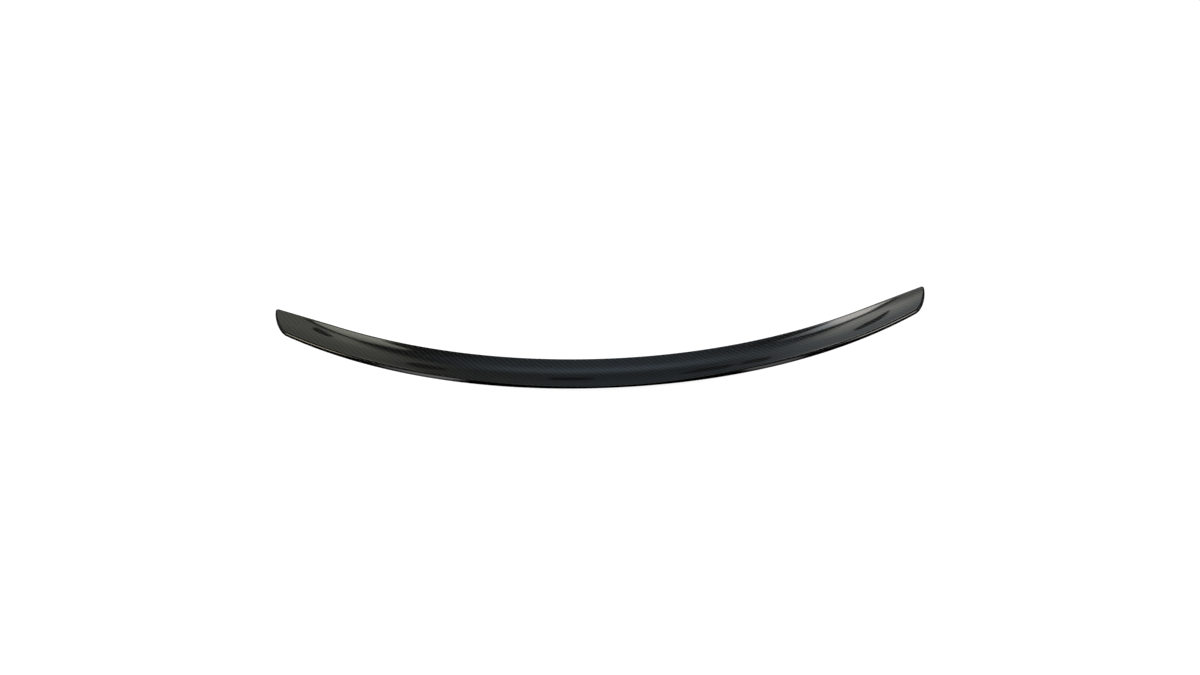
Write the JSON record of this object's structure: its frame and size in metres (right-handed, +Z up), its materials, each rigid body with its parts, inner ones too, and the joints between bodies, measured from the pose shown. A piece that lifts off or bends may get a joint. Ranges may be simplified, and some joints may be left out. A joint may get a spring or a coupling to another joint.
{
  "type": "car boot lid lip spoiler",
  "caption": "Crescent-shaped lip spoiler for a car's boot lid: one glossy carbon-fibre moulding with a raised, undercut rear lip and a hollow underside with bonding lands.",
  "frame": {"origin": "centre of the bounding box, at its bottom: the flat surface the part rests on with the foot of its rear face", "axes": "+X across the car, from tip to tip; +Y forwards, to the concave leading edge; +Z up, away from the boot lid"},
  "size_m": [1.1, 0.1908, 0.0205],
  "materials": {
    "carbon": "twill-weave carbon fibre under a glossy clear coat"
  },
  "bodies": {
    "root": {"spoiler": "carbon"}
  },
  "joints": []
}
